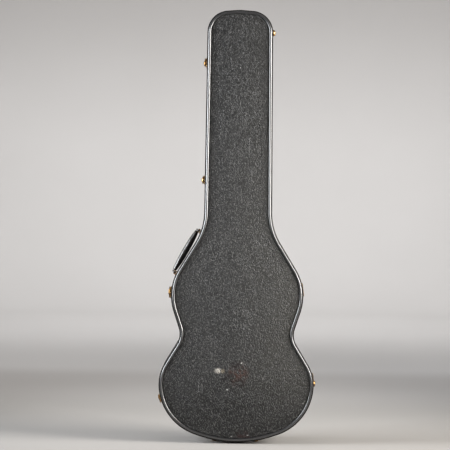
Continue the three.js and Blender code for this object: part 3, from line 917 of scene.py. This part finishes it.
def hinges():
    """Three screws in each leaf."""
    for name, place in hinge_places().items():
        where = rim_frame(place, SEAM)
        for side, body in ((1, "body"), (-1, "lid")):
            places = [(0.9, side * y, z) for y, z in ((8, -11), (8, 11), (15.5, 0))]
            rivets(f"hinge_{name}_{body}_screws", body, where, places, 2.0, 0.6)


def dome_profile(height):
    """A foot's section: a short straight side, a quarter turn and a flat tip."""
    radius, flat, side = FOOT["radius"], FOOT["flat"], 0.16
    dome = [(flat + (radius - flat) * math.cos(a), side * height + (1 - side) * height * math.sin(a))
            for a in turns(0, 90, 12)]
    return [(0, 0), (radius, 0)] + dome + [(0, height)]


def feet():
    """Two feet on the spine and four that carry the case."""
    for name, z in SPINE_FEET.items():
        dome = lathe(dome_profile(FOOT["height"]))
        bmesh.ops.translate(dome, verts=dome.verts, vec=(GAP, 0, 0))
        where = rim_frame(rim_at_height(z, 1), SPINE_FOOT_Y)
        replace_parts(placed(f"spine_stud_{name}", dome, where, "brass", "body", 50), f"spine_foot_{name}")
    point_down = Matrix.Rotation(math.radians(90), 4, "Y")
    for depth, y in TAIL_FOOT_Y.items():
        for side, x in (("left", -TAIL_FOOT_X), ("right", TAIL_FOOT_X)):
            dome = lathe(dome_profile(FOOT["height"] + FOOT_LIFT))
            where = Matrix.Translation((x, y, FOOT["height"])) @ point_down
            stud = placed(f"tail_stud_{depth}_{side}", dome, where, "brass", "body", 50)
            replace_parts(stud, f"tail_foot_{depth}_{side}")


# ---- Handle ------------------------------------------------------------------------------------------

def handle_frame():
    """Midway between the two brackets, with local Z along the line from one to the other."""
    low, high = (rim_at_height(HANDLE[key], -1)[0] for key in ("low", "high"))
    along = (high - low).normalized()
    return rim_frame(((low + high) / 2, Vector((-along.y, along.x))), HANDLE["y"])


def grip_radius(t):
    """The grip thins from its middle, t = 0, to its ends, t = -1 and 1."""
    return GRIP["radius"] * (0.56 + 0.44 * (1 - abs(t) ** 2.6))


def grip_place(radius, angle):
    """A place (x, y) on the grip, which is deeper than it is thick."""
    return (GRIP["x"] + radius * math.cos(angle),
            GRIP["drop"] + radius * GRIP["depth_scale"] * math.sin(angle))


def grip_mesh():
    """The padded grip: a leather tube with a raised seam, thinning to tucked ends."""
    bm = bmesh.new()
    rows, around = 60, 36
    tuck_from, tuck, crease_depth = 0.985, 0.8, 0.18
    loops = []
    for j in range(rows + 1):
        t = 2 * j / rows - 1
        thickness = grip_radius(t) * (tuck if abs(t) > tuck_from else 1)
        loop = []
        for i in range(around):
            angle = 2 * math.pi * i / around
            from_seam = (math.degrees(angle) - GRIP_SEAM["angle"]) / GRIP_SEAM["width"]
            seam = GRIP_SEAM["height"] * math.exp(-from_seam ** 2)
            along_grip = Vector((math.cos(angle) * 2, math.sin(angle) * 2, t * 9))
            crease = crease_depth * noise.noise(along_grip)
            x, y = grip_place(thickness + (seam + crease) * (1 - t ** 6), angle)
            loop.append(bm.verts.new((x, y, GRIP["half"] * t)))
        loops.append(loop)
    skin(bm, loops)
    return bm


def stitches():
    """A row of stitches on each side of the grip's seam."""
    bm = bmesh.new()
    count, half_length = STITCH["count"], STITCH["half_length"]
    for k in range(-count, count + 1):
        t = k / (count + 1)
        z = GRIP["half"] * t
        for degrees in STITCH["angles"]:
            x, y = grip_place(grip_radius(t) + 0.12, math.radians(degrees))
            ends = (x - STITCH["half_width"], y), (x + STITCH["half_width"], y)
            add_prism(bm, capsule_loop(*ends, STITCH["radius"], 4), z - half_length, z + half_length)
    return bm


def strap_mesh(side):
    """A strap of doubled leather from the grip's end round the bracket's pin."""
    bm = bmesh.new()
    centre = side * HANDLE["end"]
    pin, grip_end = (HANDLE["pin_x"], 0), (GRIP["x"], GRIP["drop"])
    loops = []
    for dz, pull in ((-2.4, 0.7), (-1.8, 0.1), (0, 0), (1.8, 0.1), (2.4, 0.7)):
        loop = capsule_loop(pin, grip_end, STRAP_RADIUS - pull, 10)
        loops.append([bm.verts.new((x, y, centre + dz)) for x, y in loop])
    skin(bm, loops)
    return bm


def handle():
    """The grip, its stitches, the two straps and the rivets of the two brackets."""
    where = handle_frame()
    grip = grip_mesh()
    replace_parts(placed("handle_grip_leather", grip, where, "handle_leather", "handle", 60), "handle_grip")
    placed("handle_grip_stitching", stitches(), where, "handle_leather", "handle", 60)
    for name, side in (("lower", 1), ("upper", -1)):
        strap = placed(f"handle_strap_{name}_leather", strap_mesh(side), where, "handle_leather", "handle")
        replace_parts(strap, f"handle_strap_{name}")
        rivet_places = [(1.3, y, side * HANDLE["end"]) for y in (-6.8, 6.8)]
        rivets(f"handle_bracket_{name}_rivets", "body", where, rivet_places, 1.6, 0.7)


latches()
hinges()
feet()
handle()


# ---- CAD nodes that keep their shape -----------------------------------------------------------------

def dress_cad_nodes():
    """Gives each node from the frame its slot's material and a small bevel."""
    slot_of = {row["node"]: row["material_slot"] for row in frame["record"]["subparts"]}
    for node_name, node in frame["nodes"].items():
        node.data.materials.clear()
        node.data.materials.append(MATERIALS[slot_of[node_name]])
        bevel = node.modifiers.new("edge", "BEVEL")
        bevel.width = 0.3 * MM
        bevel.segments = 2
        bevel.limit_method = "ANGLE"
        node.data.shade_smooth()
        node.data.set_sharp_from_angle(angle=math.radians(35))


dress_cad_nodes()


# ---- Studio ------------------------------------------------------------------------------------------

def paper():
    """Pale seamless paper with painted shade: darker round the case, in a band behind it and high up;
    places in metres.
    """
    n = Nodes("backdrop_paper")
    axes = n.add("ShaderNodeSeparateXYZ")
    n.put(axes.inputs[0], n.place)
    depth, height = axes.outputs["Y"], axes.outputs["Z"]
    base = n.mix(n.noise(1.3, 3.0), (0.60, 0.585, 0.575), (0.64, 0.625, 0.615))
    # painted shade: the floor and the foot of the walls darker round the case and in front of it
    near = n.math("MULTIPLY", n.ramp(depth, 0.4, 1.5, 1.0, 0.0), n.ramp(height, 0.0, 0.6, 1.0, 0.0))
    base = n.mix(near, base, (0.37, 0.355, 0.338))
    # painted shade: a darker band across the paper behind the case
    painted_shade_band = n.math("MULTIPLY", n.ramp(depth, 0.7, 1.25, 0.0, 1.0), n.ramp(depth, 1.35, 1.7, 0.42, 0.0))
    base = n.mix(painted_shade_band, base, (0.34, 0.318, 0.302))
    # painted shade: the walls darker high up
    base = n.mix(n.ramp(height, 1.1, 2.4, 0.0, 0.6), base, (0.34, 0.325, 0.315))
    return n.finish(base, 0.8, n.bump(n.noise(220, 3.0), 0.0002), Specular_IOR_Level=0.2)


def backdrop():
    """A round cove: floor, curve and wall in one surface, wide enough to walk round the case."""
    bm = bmesh.new()
    reach, radius, height, steps = 6.2, 1.4, 5.0, 96
    line = [(reach - radius, 0)]
    line += [(reach - radius + radius * math.sin(a), radius * (1 - math.cos(a)))
             for a in turns(0, 90, 16)[1:]]
    line += [(reach, height)]
    circle = [2 * math.pi * k / steps for k in range(steps)]
    middle = bm.verts.new((0, 0, 0))
    rings = [[bm.verts.new((r * math.cos(a), r * math.sin(a), z)) for a in circle] for r, z in line]
    for i in range(steps):
        bm.faces.new((middle, rings[0][i], rings[0][(i + 1) % steps]))
    for first, second in zip(rings, rings[1:]):
        bridge(bm, first, second)
    bmesh.ops.recalc_face_normals(bm, faces=bm.faces)
    mesh = bpy.data.meshes.new("backdrop")
    bm.to_mesh(mesh)
    bm.free()
    mesh.shade_smooth()
    cove = bpy.data.objects.new("backdrop", mesh)
    bpy.context.scene.collection.objects.link(cove)
    mesh.materials.append(paper())


SPREAD = math.radians(100)   # how wide a softbox throws its light


def softbox(name, place, aim, size, power, color=(1, 1, 1)):
    """A rectangular light at a place in metres, turned to its aim and hidden from the camera."""
    light = bpy.data.lights.new(name, "AREA")
    light.shape = "RECTANGLE"
    light.size, light.size_y = size
    light.energy = power
    light.color = color
    light.spread = SPREAD
    lamp = bpy.data.objects.new(name, light)
    lamp.location = place
    lamp.visible_camera = False
    lamp.rotation_euler = (Vector(aim) - Vector(place)).to_track_quat("-Z", "Y").to_euler()
    bpy.context.scene.collection.objects.link(lamp)


def lights():
    """One softbox on each side of the case, three lights for the backdrop and a dim world."""
    softbox("left_softbox", (-1.5, -0.22, 0.90), (0, -0.06, 0.80), (0.75, 1.1), 26, (0.93, 0.96, 1.0))
    softbox("right_softbox", (1.5, -0.42, 0.90), (0, -0.06, 0.78), (0.75, 1.1), 32, (1.0, 0.97, 0.93))
    softbox("overhead", (0.2, 1.2, 3.9), (0.1, 3.4, 0.0), (3.0, 2.4), 32)
    softbox("wall_light", (0.3, 1.6, 3.6), (0.1, 6.2, 0.9), (5.0, 1.5), 74)
    softbox("rear_wall_light", (-0.3, -1.6, 3.6), (-0.1, -6.2, 1.0), (5.0, 1.5), 40)
    world = bpy.data.worlds.new("studio")
    world.use_nodes = True
    background = world.node_tree.nodes["Background"]
    background.inputs["Color"].default_value = (1, 1, 1, 1)
    background.inputs["Strength"].default_value = 0.18
    bpy.context.scene.world = world


def camera():
    """Level, a little left of the case's middle, with the frame 1.125 m wide at the lid's face."""
    distance, view_width, sensor_width = 3.3, 1.125, 36
    centre_x, centre_z, roll = -0.0326, 0.547, math.radians(-0.69)
    lens = bpy.data.cameras.new("camera")
    lens.sensor_width = sensor_width
    lens.lens = sensor_width * distance / view_width
    lens.clip_end = 50
    eye = bpy.data.objects.new("camera", lens)
    eye.location = (centre_x, -(FACE + BEAD_PROUD) * MM - distance, centre_z)
    eye.rotation_euler = (math.radians(90), roll, 0)
    bpy.context.scene.collection.objects.link(eye)
    bpy.context.scene.camera = eye


backdrop()
lights()
camera()
bpy.context.scene.view_settings.view_transform = "Standard"
